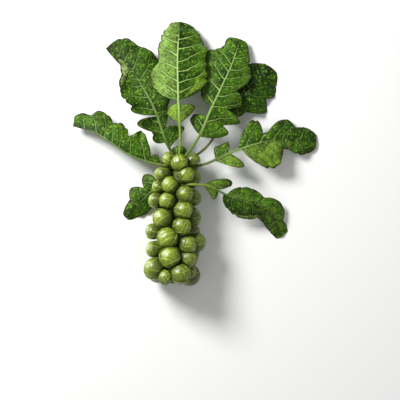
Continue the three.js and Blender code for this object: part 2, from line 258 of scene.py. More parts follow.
def noise(vector, scale, detail=2.0):
    inputs = {"Vector": vector, "Scale": scale, "Detail": detail}
    return addNode(vector.id_data, "TexNoise", inputs).outputs["Fac"]


def cells(vector, scale, feature):
    inputs = {"Vector": vector, "Scale": scale}
    node = addNode(vector.id_data, "TexVoronoi", inputs, feature=feature)
    return node.outputs["Distance"]


def attributeOf(tree, name, output="Fac"):
    return addNode(tree, "Attribute", attribute_name=name).outputs[output]


def axesOf(vector):
    return addNode(vector.id_data, "SeparateXYZ", {0: vector}).outputs


def addBump(shader, height, strength, distance):
    inputs = {"Height": height, "Strength": strength, "Distance": distance}
    put(shader, "Normal", addNode(shader.id_data, "Bump", inputs).outputs[0])


def roughen(shader, vector, scale, spread, middle):
    rough = ramp(noise(vector, scale), 0.3, 0.7, spread)
    put(shader, "Roughness", calc("ADD", rough, middle - spread / 2))


# Veins: the UV map counts the side veins along x, so a vein lies at each whole number,
# and holds the distance out from the midrib in millimetres along y. leafPlace holds the
# signed distance out, the share of the way to the margin, and the share along the leaf.
# Gives the masks of strong and fine veins and of the shade by them, and both places.
def veinMask(tree, look):
    count, outUv, _ = axesOf(addNode(tree, "UVMap", uv_map="veins").outputs[0])
    place = axesOf(attributeOf(tree, "leafPlace", "Vector"))
    aside, margin, along = place
    spot = addNode(tree, "TexCoord").outputs["Object"]
    wander = calc("SUBTRACT", noise(spot, look["wanderScale"]), 0.5)
    count = scaled(wander, look["wander"], count)
    apart = calc("ABSOLUTE", calc("SUBTRACT", calc("FRACT", calc("ADD", count, 0.5)), 0.5))
    distance = times(apart, look["spacing"])
    width = scaled(margin, -look["sideWidth"] * look["sideTaper"], look["sideWidth"])
    side = times(maskOf(calc("DIVIDE", distance, width), 0.35, 1.0), ramp(margin, 1.0, 0.72))
    side = times(side, ramp(along, look["veinsEnd"], look["veinsEnd"] - 0.12))
    across = scaled(apart, look["branchLean"], outUv)
    across = scaled(wander, look["branchWander"], across)
    branch = calc("PINGPONG", across, look["branchSpacing"])
    branch = times(maskOf(branch, 0.1, look["branchWidth"]), look["branchStrength"])
    net = cells(spot, look["netScale"], "DISTANCE_TO_EDGE")
    fine = calc("MAXIMUM", branch, times(maskOf(net, 0.0, 0.09), look["netStrength"]))
    out = calc("ABSOLUTE", aside)
    ribWidth = scaled(along, look["ribTip"] - look["ribBase"], look["ribBase"])
    rib = maskOf(calc("DIVIDE", out, ribWidth), 0.6, 1.0)
    rib = times(rib, ramp(along, look["ribEnd"], look["ribEnd"] - 0.2))
    shade = calc("MAXIMUM", maskOf(distance, 1.0, 4.2), maskOf(out, 2.0, 6.5))
    return calc("MAXIMUM", side, rib), fine, place, spot, times(shade, ramp(margin, 1.0, 0.6))


leafLook = {
    "spacing": 18, "sideWidth": 1.35, "sideTaper": 0.75, "wanderScale": 32, "wander": 0.7,
    "branchSpacing": 5.6, "branchLean": 9, "branchWander": 9, "branchWidth": 0.8,
    "branchStrength": 0.5, "netScale": 300, "netStrength": 0.28,
    "ribBase": 2.7, "ribTip": 0.9, "ribEnd": 1.0, "veinsEnd": 0.97,
    "vein": (162, 196, 106), "fine": (96, 138, 24), "veinShade": 0.5,
    "edge": (40, 36, 8), "edgeWidth": 3.8, "edgeScale": 70,
    "petiole": (116, 134, 56), "footEnd": 0.14, "underside": (146, 180, 80),
    "mottle": 0.55, "mottleScale": 42, "blisterCreaseShade": 0.62, "blisterScale": 330,
    "speckle": (150, 196, 48), "speckleShare": 0.45, "speckleScale": 240,
    "grainScale": 900, "bumpHeight": 0.0008,
    "roughness": 0.55, "roughScale": 120, "specular": 0.12,
}


# A leaf's skin: greens for its two halves, with painted light and shade in them, blistered
# with painted shade in the creases and mottled, with a painted shade beside each pale vein
# and a dark margin. bare is the petiole's share of the leaf's length, and share how much of
# the skin's own colour lies over the greens.
def leafMaterial(name, leaf, bare, skin=None, share=0.0):
    material, tree, shader = newSkin(name)
    look = dict(leafLook, ribEnd=leaf.get("ribEnd", leafLook["ribEnd"]))
    strong, fine, (aside, margin, along), spot, shade = veinMask(tree, look)
    out, veins = calc("ABSOLUTE", aside), leaf["veins"]
    outwards = ramp(margin, 0.05, 0.85)
    # Painted light and shade: each half's greens are lighter where it faces the lamp at the upper
    # left and darker where it turns away
    halves = [mixColour(outwards, inner, outer) for inner, outer in leaf["greens"]]
    green = mixColour(ramp(aside, -1.0, 1.0), *halves)
    if "leaflets" in leaf:
        colour, end = leaf["leaflets"]
        green = tint(green, ramp(along, end, end - 0.03), 1.0, colour)
    if "tip" in leaf:
        colour, start = leaf["tip"]
        green = tint(green, ramp(along, start, start + 0.1), 0.8, colour)
    if share:
        green = mixColour(share, green, skin or look["underside"])
    mottle = ramp(noise(spot, look["mottleScale"], 4.0), 0.38, 0.66)
    # Painted shade in the creases between the blisters, which also sink the bump there
    blisterCreaseShade = ramp(cells(spot, look["blisterScale"], "SMOOTH_F1"), 0.2, 0.75)
    speckle = ramp(noise(spot, look["speckleScale"], 4.0), 0.54, 0.66)
    green = tint(green, mottle, look["mottle"], black)
    green = tint(green, blisterCreaseShade, look["blisterCreaseShade"], black)
    green = tint(green, speckle, look["speckleShare"], look["speckle"])
    green = tint(green, shade, look["veinShade"], black)
    green = tint(green, fine, 0.3 + 0.3 * veins, look["fine"])
    green = tint(green, strong, 0.95 * veins, look["vein"])
    foot = times(ramp(along, bare + look["footEnd"], bare, 0.9), ramp(out, 3.6, 2.6))
    green = mixColour(foot, green, leaf.get("petiole", look["petiole"]))
    toMargin = calc("DIVIDE", times(out, rest(margin)), calc("MAXIMUM", margin, 0.01))
    uneven = scaled(noise(spot, look["edgeScale"]), 2.0, 0.1)
    edge = ramp(toMargin, times(uneven, look["edgeWidth"]), 0.3, 0.95)
    green = mixColour(times(edge, ramp(out, 3.5, 6.0)), green, look["edge"])
    put(shader, "Base Color", green)
    height = scaled(calc("MAXIMUM", strong, fine), -0.6, 1.0)
    height = scaled(blisterCreaseShade, -1.0, height)
    height = scaled(noise(spot, look["grainScale"]), 0.3, height)
    addBump(shader, height, 0.5, look["bumpHeight"])
    roughen(shader, spot, look["roughScale"], 0.16, look["roughness"])
    put(shader, "Specular IOR Level", look["specular"])
    return material


# Leaves: the same midribs and lobes as the solids, with finer waves, puckers and scallops

blade = {
    "rows": 210, "sideColumns": 24, "halfThickness": 0.5, "marginHalf": 0.28,
    "petioleRadius": 2.7, "ribAtTip": 0.9, "ribTop": 0.6, "ribTaper": 0.8,
    "lobeRoundness": 0.48, "waveAtReach": 40,
    "scallop": 0.012, "scallopLength": 15, "notch": 0.075, "notchLength": 27,
    "ruffle": 1.3, "ruffleLength": 17,
    "pucker": 0.9, "puckerWidth": 2.4, "veinRise": 0.45, "veinBend": 0.004,
    "veinFirst": 24, "veinLast": 17, "veinSpacing": 15, "columnPower": 1.15,
}

# A root is a height on the stem and a turn around it. A lobe is [from, to, reach, lean]
# along and out from the midrib, and a lip is a stretch of margin turned over. folds and
# greens are the left side's, then the right's: how steeply it falls away and its colour,
# at the midrib and at the margin, with painted light and shade in the colour: a half that
# faces the lamp at the upper left is painted lighter and a half turned away darker.
# waves are their count on either side, height and turn.
leaves = {}
leaves["leaf_top"] = {
    "root": (226, 0),
    "midrib": [[8, 257, 60], [6, 300, 68], [4, 345, 68],
               [3, 390, 60], [4, 431, 44], [8, 471, 18]],
    "left": [[66, 99, 24, 3], [105, 190, 54, 3], [118, 262, 39, 6], [196, 267, 32, 0]],
    "right": [[65, 94, 31, 12], [107, 186, 58, 3], [112, 263, 58, 6], [200, 270, 39, 0]],
    "folds": ((14, 26), (10, 30)), "waves": (7, 6.5, 3.2, 0.4),
    "greens": (((106, 142, 52), (142, 178, 88)), ((34, 72, 12), (80, 124, 26))),
    "leftVeins": (75, 100, 121, 139, 162, 187, 213),
    "rightVeins": (82, 103, 121, 136, 155, 176, 198),
    "veins": 0.95, "rise": (0.55, 0.5, 0.0, 0.45), "ribEnd": 0.96,
    "petiole": (128, 152, 66), "leaflets": ((128, 164, 56), 0.39),
    "lips": [{"side": "right", "from": 104, "to": 162, "width": 25, "colour": (120, 152, 40)}],
}
leaves["leaf_upper_left"] = {
    "root": (226, -50),
    "midrib": [[-18, 255, 51], [-38, 312, 51], [-57, 347, 44], [-89, 398, 24], [-123, 428, 5]],
    "left": [[33, 57, 23, 0], [50, 80, 42, 12], [85, 128, 42, 3],
             [94, 184, 44, 1], [150, 206, 22, 0], [90, 256, 15, 0]],
    "right": [[22, 58, 43, 4], [56, 150, 24, 0], [84, 150, 42, 0],
              [110, 190, 38, 4], [126, 227, 52, 8], [188, 256, 38, 0]],
    "folds": ((8, -55), (12, 30)), "waves": (6, 6, 3.4, 1.5),
    "greens": (((58, 100, 18), (60, 102, 16)), ((68, 104, 34), (46, 84, 12))),
    "veins": 0.35, "ribEnd": 0.72, "petiole": (74, 104, 38),
    "lips": [{"side": "left", "from": 157, "to": 213, "width": 15, "reach": (35, 7),
              "colour": (178, 204, 122)},
             {"side": "left", "from": 52, "to": 80, "width": 9}],
}
leaves["leaf_upper_right"] = {
    "root": (224, 50),
    "midrib": [[41, 262, 51], [61, 308, 52], [82, 353, 45], [101, 395, 33], [116, 440, 13]],
    "left": [[52, 86, 30, 6], [107, 142, 34, 4], [116, 252, 37, 0],
             [144, 228, 54, 7], [205, 258, 26, 0]],
    "right": [[50, 80, 48, 10], [76, 114, 60, 8], [108, 156, 50, 6],
              [120, 252, 34, 0], [142, 216, 44, 6]],
    "folds": ((6, 24), (8, 26)), "waves": (6, 7, 3.0, 2.6),
    "greens": (((44, 84, 14), (76, 116, 28)), ((66, 112, 26), (86, 130, 36))),
    "veins": 0.7, "petiole": (100, 124, 54),
}
# Its greens are dark all over, with painted shadow from leaf_upper_right, which lies over it
leaves["leaf_back_right"] = {
    "root": (216, 120),
    "midrib": [[52, 242, 32], [83, 283, 29], [117, 328, 23], [155, 366, 13], [173, 389, 3]],
    "left": [[110, 178, 41, 0], [125, 246, 38, 0], [150, 241, 52, 2]],
    "right": [[120, 158, 20, 3], [138, 194, 49, 9], [150, 246, 32, 0], [176, 226, 38, 5]],
    "folds": ((10, 26), (8, 30)), "waves": (5, 6, 2.6, 0.9),
    "greens": (((26, 58, 6), (40, 78, 12)), ((40, 80, 8), (56, 96, 18))),
    "veins": 0.16, "ribEnd": 0.5, "petiole": (110, 112, 60),
}
leaves["leaf_right"] = {
    "root": (205, 85),
    "midrib": [[55, 215, 43], [104, 237, 42], [154, 253, 36], [205, 260, 21], [254, 256, 4]],
    "left": [[60, 79, 23, 0], [67, 85, 21, 15], [105, 151, 45, 19], [115, 256, 20, 0],
             [149, 208, 37, 22], [198, 258, 24, 0]],
    "right": [[58, 87, 34, 25], [110, 188, 50, 8], [130, 256, 19, 0], [190, 258, 28, 0]],
    "folds": ((6, 30), (-12, 10)), "waves": (6, 5, 3.2, 2.0),
    "greens": (((72, 114, 28), (68, 108, 22)), ((128, 162, 62), (120, 156, 50))),
    "veins": 0.45, "ribEnd": 0.7, "petiole": (92, 104, 44), "tip": ((42, 90, 12), 0.66),
}
leaves["leaf_lower_right"] = {
    "root": (175, 35),
    "midrib": [[29, 177, 71], [58, 174, 69], [90, 159, 58],
               [128, 144, 44], [163, 131, 29], [191, 83, 3]],
    "left": [[49, 77, 24, 34], [98, 178, 30, 5], [110, 248, 21, 0],
             [158, 216, 30, 8], [206, 252, 19, 0]],
    "right": [[52, 80, 20, 12], [92, 190, 33, 0], [120, 250, 23, 3]],
    "folds": ((10, 34), (18, 42)), "waves": (6, 6, 2.6, 0.2),
    "greens": (((108, 150, 50), (78, 122, 28)), ((80, 124, 30), (46, 86, 14))),
    "veins": 0.3, "ribEnd": 0.6, "leaflets": ((112, 146, 50), 0.33),
    "lips": [{"side": "right", "from": 120, "to": 196, "width": 8, "colour": (150, 170, 90)},
             {"side": "right", "from": 56, "to": 76, "width": 5},
             {"side": "left", "from": 50, "to": 72, "width": 5}],
}
leaves["leaf_left"] = {
    "root": (208, -85),
    "midrib": [[-45, 216, 46], [-85, 231, 51], [-113, 250, 50],
               [-150, 273, 39], [-186, 283, 21]],
    "left": [[56, 118, 34, 0], [70, 202, 30, 0], [100, 160, 38, 0]],
    "right": [[24, 46, 18, 0], [42, 108, 52, 3], [80, 204, 32, 0],
              [92, 150, 43, 5], [129, 186, 44, 6], [156, 211, 29, 10]],
    "folds": ((84, 92), (8, 36)), "waves": (4, 6, 3.2, 1.1),
    "greens": (((54, 90, 24), (44, 80, 20)), ((54, 96, 18), (82, 122, 32))),
    "veins": 0.4, "ribEnd": 0.9,
}
leaves["leaf_lower_left"] = {
    "root": (178, -125),
    "midrib": [[-34, 172, 26], [-60, 150, 15], [-92, 118, 1]],
    "left": [[42, 102, 24, 3], [60, 116, 17, 0]],
    "right": [[25, 50, 33, 3], [38, 117, 18, 0], [45, 86, 31, 5]],
    "folds": ((4, 20), (6, 26)), "waves": (4, 5, 2.0, 0.6),
    "greens": (((42, 80, 12), (64, 108, 18)), ((38, 76, 12), (74, 110, 28))),
    "veins": 0.2, "ribEnd": 0.7,
}


# A smooth line through points: between two points a cubic whose end slopes come from
# their neighbours, spaced by the square root of the distances (centripetal).
def smoothLine(points):
    points = np.array(points, float)
    ends = join([[2 * points[0] - points[1]], points, [2 * points[-1] - points[-2]]])
    share = np.linspace(0, 1, 80, endpoint=False)[:, None]
    pieces = []
    for p0, p1, p2, p3 in zip(ends, ends[1:], ends[2:], ends[3:]):
        d0, d1, d2 = (np.sqrt(lengths(b - a)) for a, b in ((p0, p1), (p1, p2), (p2, p3)))
        slope1 = ((p1 - p0) / d0 - (p2 - p0) / (d0 + d1) + (p2 - p1) / d1) * d1
        slope2 = ((p2 - p1) / d1 - (p3 - p1) / (d1 + d2) + (p3 - p2) / d2) * d1
        cubic = 2 * p1 - 2 * p2 + slope1 + slope2
        square = -3 * p1 + 3 * p2 - 2 * slope1 - slope2
        pieces.append(p1 + slope1 * share + square * share ** 2 + cubic * share ** 3)
    return join(pieces + [points[-1:]])


# The midrib from the stem's surface to the tip: its points and their distances along it
def midribLine(leaf):
    rootY, turn = leaf["root"]
    turn = np.radians(turn)
    outward = np.array([np.sin(turn), 0, np.cos(turn)])
    root = stemCentre(rootY) + outward * (stemRadius(rootY) + stalk["gap"])
    line = smoothLine([root, *leaf["midrib"]])
    distance = join([[0], np.cumsum(lengths(np.diff(line, axis=0)))])
    return line, distance


def alongLine(line, distance, wanted):
    return np.stack([np.interp(wanted, distance, line[:, axis]) for axis in range(3)], -1)


# How far a side reaches at each distance along: the furthest of its round lobes (a sine
# arch raised to a power), and no less than the rib; with it, how far the margin leans on.
# Small scallops swell the margin in and out, and notches cut in where an arch of sines ends.
def sideMargin(lobes, along, rib):
    reach, lean = rib.copy(), np.zeros_like(along)
    for start, end, lobeReach, lobeLean in lobes:
        share = np.clip((along - start) / (end - start), 0, 1)
        fullness = np.sin(np.pi * share) ** blade["lobeRoundness"]
        further = lobeReach * fullness > reach
        reach = np.where(further, lobeReach * fullness, reach)
        lean = np.where(further, lobeLean * fullness, lean)
    onBlade = smooth((reach - rib - 3) / 8)
    wave = 2 * np.pi * along / blade["scallopLength"] + 0.7 * np.sin(along / 11)
    arch = np.sin(np.pi * along / blade["notchLength"] + 1.3 * np.sin(along / 19) + len(lobes))
    uneven = blade["scallop"] * np.sin(wave) - blade["notch"] * (1 - np.abs(arch)) ** 2.5
    return reach * (1 + uneven * onBlade), lean


# Where the side veins leave the midrib: at the leaf's own list, if it has one, and then by
# steps that get shorter towards the tip
def veinStarts(leaf, sideName, length):
    offset = 4.0 * (sideName == "right")
    first = min(lobe[0] for lobe in leaf[sideName])
    starts = list(leaf.get(sideName + "Veins", [first - 3 + offset]))
    while starts[-1] < length:
        share = (starts[-1] - first) / (length - first)
        step = blend(blade["veinFirst"], blade["veinLast"], share)
        starts.append(starts[-1] + step * (1 + 0.24 * np.sin(5.1 * len(starts) + offset)))
    return np.array(starts)


# A side of a leaf, rows along and columns from the rib outwards. The side bends along an
# arc from its slope at the rib to its slope at the margin; the margin waves up and down,
# and the blade is puckered between its veins.
def leafSide(leaf, line, distance, along, sideName, columns):
    length = distance[-1]
    isRight = int(sideName == "right")
    sign = 2 * isRight - 1
    share = along / length
    rib = blend(blade["petioleRadius"], blade["ribAtTip"], share ** blade["ribTaper"])
    reach, lean = sideMargin(leaf[sideName], along, rib)
    centre = alongLine(line, distance, along)
    tangent = unit(np.gradient(centre, axis=0))
    across = unit(np.stack([tangent[:, 1], -tangent[:, 0], 0 * along], -1))
    up = unit(np.cross(across, tangent))
    outShare = np.atleast_2d(columns)
    out = reach[:, None] * outShare
    slope = np.radians(blend(*leaf["folds"][isRight], outShare / 2))
    *counts, height, turn = leaf["waves"]
    wave = np.sin(counts[isRight] * 2 * np.pi * share + turn * (sign + 2))[:, None]
    lift = height * wave * (out / blade["waveAtReach"]) * outShare
    ruffle = np.sin(2 * np.pi * along / blade["ruffleLength"] + turn + sign)[:, None]
    lift = lift + blade["ruffle"] * ruffle * outShare ** 4 * smooth((out - 8) / 15)
    rises = leaf.get("rise", (blade["veinRise"],) * 4)[2 * isRight:][:2]
    rise = np.interp(share, (0.3, 0.9), rises)
    vein = along[:, None] - rise[:, None] * out - blade["veinBend"] * out ** 2
    starts = veinStarts(leaf, sideName, length)
    counted = np.interp(vein, starts, np.arange(len(starts)), left=-0.5)
    apart = np.abs(counted - np.round(counted)) * blade["veinSpacing"]
    groove = np.exp(-(apart / blade["puckerWidth"]) ** 2)
    onBlade = smooth((out - rib[:, None]) / 8) * smooth((1 - outShare) * 6)
    lift = lift + blade["pucker"] * (0.4 - groove) * onBlade
    point = centre[:, None, :] + across[:, None, :] * (sign * out * np.cos(slope))[..., None]
    point = point + up[:, None, :] * (lift - out * np.sin(slope))[..., None]
    point = point + tangent[:, None, :] * (lean[:, None] * outShare ** 1.5)[..., None]
    round_ = rib[:, None] * np.sqrt(np.clip(1 - (out / rib[:, None]) ** 2, 0, 1))
    sheet = blend(blade["halfThickness"], blade["marginHalf"], outShare ** 3)
    half = np.maximum(sheet, round_)
    above = np.where((out < rib[:, None]) & (half > 2 * sheet), half * blade["ribTop"], half)
    place = np.stack([sign * out, outShare + 0 * out, share[:, None] + 0 * out], -1)
    normal = up[:, None, :] * np.cos(slope)[..., None]
    normal = normal + across[:, None, :] * (sign * np.sin(slope))[..., None]
    return point, half, above, counted, out, place, normal


# Keeps a petiole's foot outside the stem: a point too near its centre line moves out
def clearOfStem(points):
    centre = stemCentre(points[..., 1])
    outward = (points - centre) * np.array([1, 0, 1])
    far = lengths(outward)[..., None]
    wanted = stemRadius(points[..., 1])[..., None] + stalk["gap"]
    tooNear = (far < wanted) & (points[..., 1:2] < stalk["topY"] + 1)
    moved = centre + outward / np.maximum(far, 1e-6) * wanted
    return np.where(tooNear, moved, points)


lipShape = {
    "rows": 70, "columns": 11, "halfThickness": 0.3, "lift": 0.9, "arch": 0.16, "lowest": 0.6,
    "roundness": 0.75, "uneven": 0.12,
}


# A stretch of margin turned over: a crescent that lies on the blade, arched between the
# margin and its free edge, and shows the leaf's pale underside
def makeLip(name, node, leaf, line, distance, lip, skin):
    sideName, width = lip["side"], lip["width"]
    rows, columns = lipShape["rows"], lipShape["columns"]
    t = np.linspace(0, 1, rows)
    along = blend(lip["from"], lip["to"], t)
    rib = blend(blade["petioleRadius"], blade["ribAtTip"], along / distance[-1])
    reach, _ = sideMargin(leaf[sideName], along, rib)
    if "reach" in lip:
        reach = blend(*lip["reach"], t)
    wide = width * np.sin(np.pi * np.clip(t, 0.02, 0.98)) ** lipShape["roundness"]
    wide = wide * (1 + lipShape["uneven"] * np.sin(11 * t + width))
    across = np.linspace(0, 1, columns)
    margin, _ = sideMargin(leaf[sideName], along, np.full(rows, 2.0))
    outShare = (reach[:, None] + 0.5 - (wide[:, None] + 0.5) * across) / margin[:, None]
    side = leafSide(leaf, line, distance, along, sideName, outShare)
    point, _, _, counted, out, place, normal = side
    arch = lipShape["arch"] * wide[:, None] * np.sin(np.pi * (0.1 + 0.8 * across))
    arch = lipShape["lift"] + arch + 0.5 * np.sin(9 * t)[:, None] * across
    point = point + normal * arch[..., None]
    point[..., 2] = np.maximum(point[..., 2], lipShape["lowest"])
    thick = normal * lipShape["halfThickness"]
    top, bottom = point + thick, point - thick
    if sideName == "left":
        top, bottom, counted, out, place = (v[:, ::-1] for v in (top, bottom, counted, out, place))
    faces = shellFaces(rows, columns)
    points = join([top.reshape(-1, 3), bottom.reshape(-1, 3)])
    corners = join(faces) % (rows * columns)
    veinUv = np.stack([counted.ravel()[corners], out.ravel()[corners]], -1)
    places = join([place.reshape(-1, 3)] * 2)
    makePiece(name, points, faces, veinUv, places, [skin], np.zeros(len(corners)), node)


def makeLeaf(name, leaf):
    line, distance = midribLine(leaf)
    along = np.linspace(0, distance[-1], blade["rows"])
    columns = np.linspace(0, 1, blade["sideColumns"]) ** blade["columnPower"]
    sides = [leafSide(leaf, line, distance, along, side, columns) for side in ("left", "right")]
    joined = [join([left[:, ::-1], right[:, 1:]], 1) for left, right in zip(*sides)]
    middle, half, above, leftCount, out, place, _ = joined
    middle[..., 2] = np.maximum(middle[..., 2], half)
    normal = unit(np.cross(np.gradient(middle, axis=1), np.gradient(middle, axis=0)))
    top = clearOfStem(middle + normal * above[..., None])
    bottom = clearOfStem(middle - normal * half[..., None])
    rows, columnCount = out.shape
    faces = shellFaces(rows, columnCount)
    points = join([top.reshape(-1, 3), bottom.reshape(-1, 3)])
    corners = join(faces) % (rows * columnCount)
    rib = columnCount // 2
    isLeft = (corners % columnCount).mean(1) < rib
    rightCount = leftCount.copy()        # the midrib counts with either side
    rightCount[:, rib] = sides[1][3][:, 0]
    counted = np.where(isLeft[:, None], leftCount.ravel()[corners], rightCount.ravel()[corners])
    veinUv = np.stack([counted, out.ravel()[corners]], -1)
    places = join([place.reshape(-1, 3)] * 2)
    index = np.repeat([0, 1, 0], [len(group) for group in faces])      # 1 is the underside
    bare = min(lobe[0] for lobe in leaf["left"] + leaf["right"]) / distance[-1]
    skins = [leafMaterial(name + "_upper", leaf, bare),
             leafMaterial(name + "_under", leaf, bare, share=0.55)]
    makePiece(name + "_blade", points, faces, veinUv, places, skins, index, name)
    for number, lip in enumerate(leaf.get("lips", []), 1):
        skin = leafMaterial(f"{name}_lip_{number}", leaf, bare, lip.get("colour"), 0.85)
        makeLip(f"{name}_lip_{number}", name, leaf, line, distance, lip, skin)


for leafName, leafValues in leaves.items():
    makeLeaf(leafName, leafValues)
print("leaves made:", len(leaves))


# Sprouts: wrapper leaves around a small core, wound around the stem

sprouts = {
    "count": 48, "firstY": 15, "lastY": 227,
    "bottomRadius": 18.5, "topRadius": 13.2, "swell": 1.1, "unevenness": 0.05,
    "stubLength": 1.5, "turn": 102.92, "start": 127.7, "upTilt": 12,
    "cellGap": 0.18, "petioleGap": 0.5, "petioleStretch": 60, "petiolePieces": 6,
    "rows": 18, "columns": 17, "thickness": 0.55, "press": 12, "heel": 1.8, "seatLift": 0.2,
    "coreRows": 11, "coreColumns": 20, "coreSize": 0.92, "heelAngle": 168, "edgeWave": 0.35,
    "ridge": 0.45, "veinHeight": 0.16, "veinStep": 4.2, "veinLean": 0.8,
    # The way the painted highlight faces, up and left towards the lamp, and how often a sprout
    # stands low on the right in painted shade
    "paintedHighlightSide": (-0.6, 0.5, 0.7), "lowRightEvery": 7,
}

# The sprouts that face up or stand at the sides, by number, as (x, y, radius)
seats = {
    3: (-17, 12.5, 12.5), 4: (24, 22, 12), 6: (-37, 27, 19), 7: (8, 18, 17.3), 10: (-10, 48, 18.2),
    11: (21, 44, 15.5), 13: (-38, 61, 14.6), 14: (20, 69, 16), 17: (-14, 82, 18),
    18: (39, 74, 14.4), 20: (-40, 93, 13.7), 21: (10, 102, 15.8), 24: (-23, 117, 17),
    25: (30, 118, 14.4), 27: (-36, 149, 12.8), 28: (13, 131, 15.8), 31: (-15, 148, 14),
    32: (31, 153, 13.7), 34: (-31, 173, 11.5), 35: (16, 160, 14.6), 38: (-10, 177, 14),
    39: (32, 190, 12.6), 41: (-24, 196, 14), 42: (17, 194, 14.4), 45: (6, 216, 14.4),
    48: (-12, 223, 12),
}

# How much painted shade darkens a sprout, by number: mostly those on the right, away from the lamp
paintedShade = {
    3: 0.2, 4: 1.0, 7: 0.6, 11: 0.35, 18: 0.7, 21: 0.15, 25: 1.0, 32: 1.0, 35: 0.15, 39: 0.8,
}


# A seated sprout rests on the stem: its height follows from its reach from the stem's
# middle and how far it stands to one side
def seatedSpot(x, y, radius):
    middle = stemCentre(y)
    aside = x - middle[0]
    reach = stemRadius(y) + sprouts["stubLength"] + radius
    height = np.sqrt(max(reach ** 2 - aside ** 2, (sprouts["seatLift"] * reach) ** 2))
    return (x, y, middle[2] + height), unit(np.array([aside, 0, height])), radius * sprouts["swell"]


# Sprout centres: a spiral whose step up the stem is the share of a ring that one covers
def sproutSpots():
    order = np.arange(sprouts["count"])
    nominal = blend(sprouts["bottomRadius"], sprouts["topRadius"], order / (sprouts["count"] - 1))
    firstReach = stemRadius(sprouts["firstY"]) + sprouts["stubLength"] + nominal
    step = nominal ** 2 / firstReach
    climb = join([[0], np.cumsum(step[1:])])
    y = sprouts["firstY"] + (sprouts["lastY"] - sprouts["firstY"]) * climb / climb[-1]
    turn = np.radians(sprouts["start"] + order * sprouts["turn"])
    outward = np.stack([np.sin(turn), 0 * turn, np.cos(turn)], -1)
    reach = stemRadius(y) + sprouts["stubLength"] + nominal
    centre = stemCentre(y) + outward * reach[:, None]
    radius = nominal * sprouts["swell"] * (1 + sprouts["unevenness"] * np.sin(2.3 * order))
    for number, seat in seats.items():
        k = number - 1
        centre[k], outward[k], radius[k] = seatedSpot(*seat)
    return centre, outward, radius


def petioleLines():
    wanted = np.linspace(0, sprouts["petioleStretch"], sprouts["petiolePieces"] + 1)
    return [alongLine(*midribLine(leaf), wanted) for leaf in leaves.values()]


# The planes that hold a body clear of its neighbours, the petioles and the table:
# each a direction from the body's centre and how far it may reach that way
def cellPlanes(centre, radius, otherCentres, otherRadii, lines):
    apart = otherCentres - centre
    distance = lengths(apart)
    near = (distance > 0.01) & (distance < 1.2 * (radius + otherRadii))
    share = radius / (radius + otherRadii[near])
    normals = [unit(apart[near]), np.array([[0, 0, -1.0]])]
    offsets = [distance[near] * share - sprouts["cellGap"], np.array([centre[2]])]
    for line in lines:
        start, run = line[:-1], np.diff(line, axis=0)
        along = np.clip(((centre - start) * run).sum(1) / (run ** 2).sum(1), 0, 1)
        toPoint = start + run * along[:, None] - centre
        far = lengths(toPoint)
        close = far < 1.4 * radius
        normals.append(unit(toPoint[close]))
        offsets.append(far[close] - blade["petioleRadius"] - sprouts["petioleGap"])
    return join(normals), join(offsets)


# A body's reach pressed softly against its planes: reach and room are each raised to
# minus a power and added, and the sum is raised to minus one over that power
def pressed(reach, directions, normals, offsets):
    facing = directions @ normals.T
    room = np.where(facing > 1e-6, offsets / np.maximum(facing, 1e-6), 1e6).min(-1)
    power = sprouts["press"]
    return (reach ** -power + room ** -power) ** (-1 / power)


# A wrapper leaf on a globe: rows run from its heel over the globe to its tip, columns
# from side to side. Angles are from the body's axis; past the tip they are negative.
def wrapperLeaf(body, turn, tip, width, size, flare, seed):
    rows, columns = sprouts["rows"], sprouts["columns"]
    along = np.linspace(0, 1, rows)[:, None]
    side = np.linspace(-1, 1, columns)[None, :]
    axis, first, second = body["axes"]
    outward = first * np.cos(turn) + second * np.sin(turn)
    sideways = np.cross(axis, outward)
    heel = sprouts["heelAngle"]
    round_ = np.sqrt(np.clip(1 - (np.clip((along - 0.55) / 0.46, 0, 1)) ** 2.4, 0, 1))
    half = np.radians(width) * blend(0.5, 1, smooth(along / 0.5)) * round_
    half = half * (1 + 0.05 * np.sin(9 * along + seed) * side)
    tilt = np.radians(blend(heel, tip, along)) + 0 * side
    swing = half * side
    direction = (np.cos(swing) * np.cos(tilt))[..., None] * axis
    direction = direction + (np.cos(swing) * np.sin(tilt))[..., None] * outward
    direction = direction + np.sin(swing)[..., None] * sideways
    stretch = lengths(direction)
    direction = unit(direction)
    radius = body["radius"]
    nearTip = np.clip((along - 0.5) / 0.5, 0, 1) ** 3
    edge = np.clip(np.abs(side) ** 4 * smooth(along * 2) + nearTip, 0, 1)
    wave = np.sin(2 * np.pi * (2.2 * along + 1.3 * side) + seed)
    out = np.abs(swing) * radius
    travel = along * np.radians(heel - tip) * radius
    counted = (travel - sprouts["veinLean"] * out) / sprouts["veinStep"] + seed
    ridge = sprouts["ridge"] * np.exp(-out ** 2) * (1 - 0.6 * along)
    veins = sprouts["veinHeight"] * np.cos(2 * np.pi * counted) * smooth(out / 2) * (1 - edge)
    flared = 1 + flare * edge * (1 + sprouts["edgeWave"] * wave)
    reach = radius * size * stretch * flared + ridge + veins
    outerReach = pressed(reach, direction, *body["planes"])
    innerReach = outerReach - sprouts["thickness"]
    outer = body["centre"] + direction * outerReach[..., None]
    inner = body["centre"] + direction * innerReach[..., None]
    place = np.stack([swing * radius, edge, along + 0 * side], -1)
    return outer, inner, counted, out, place


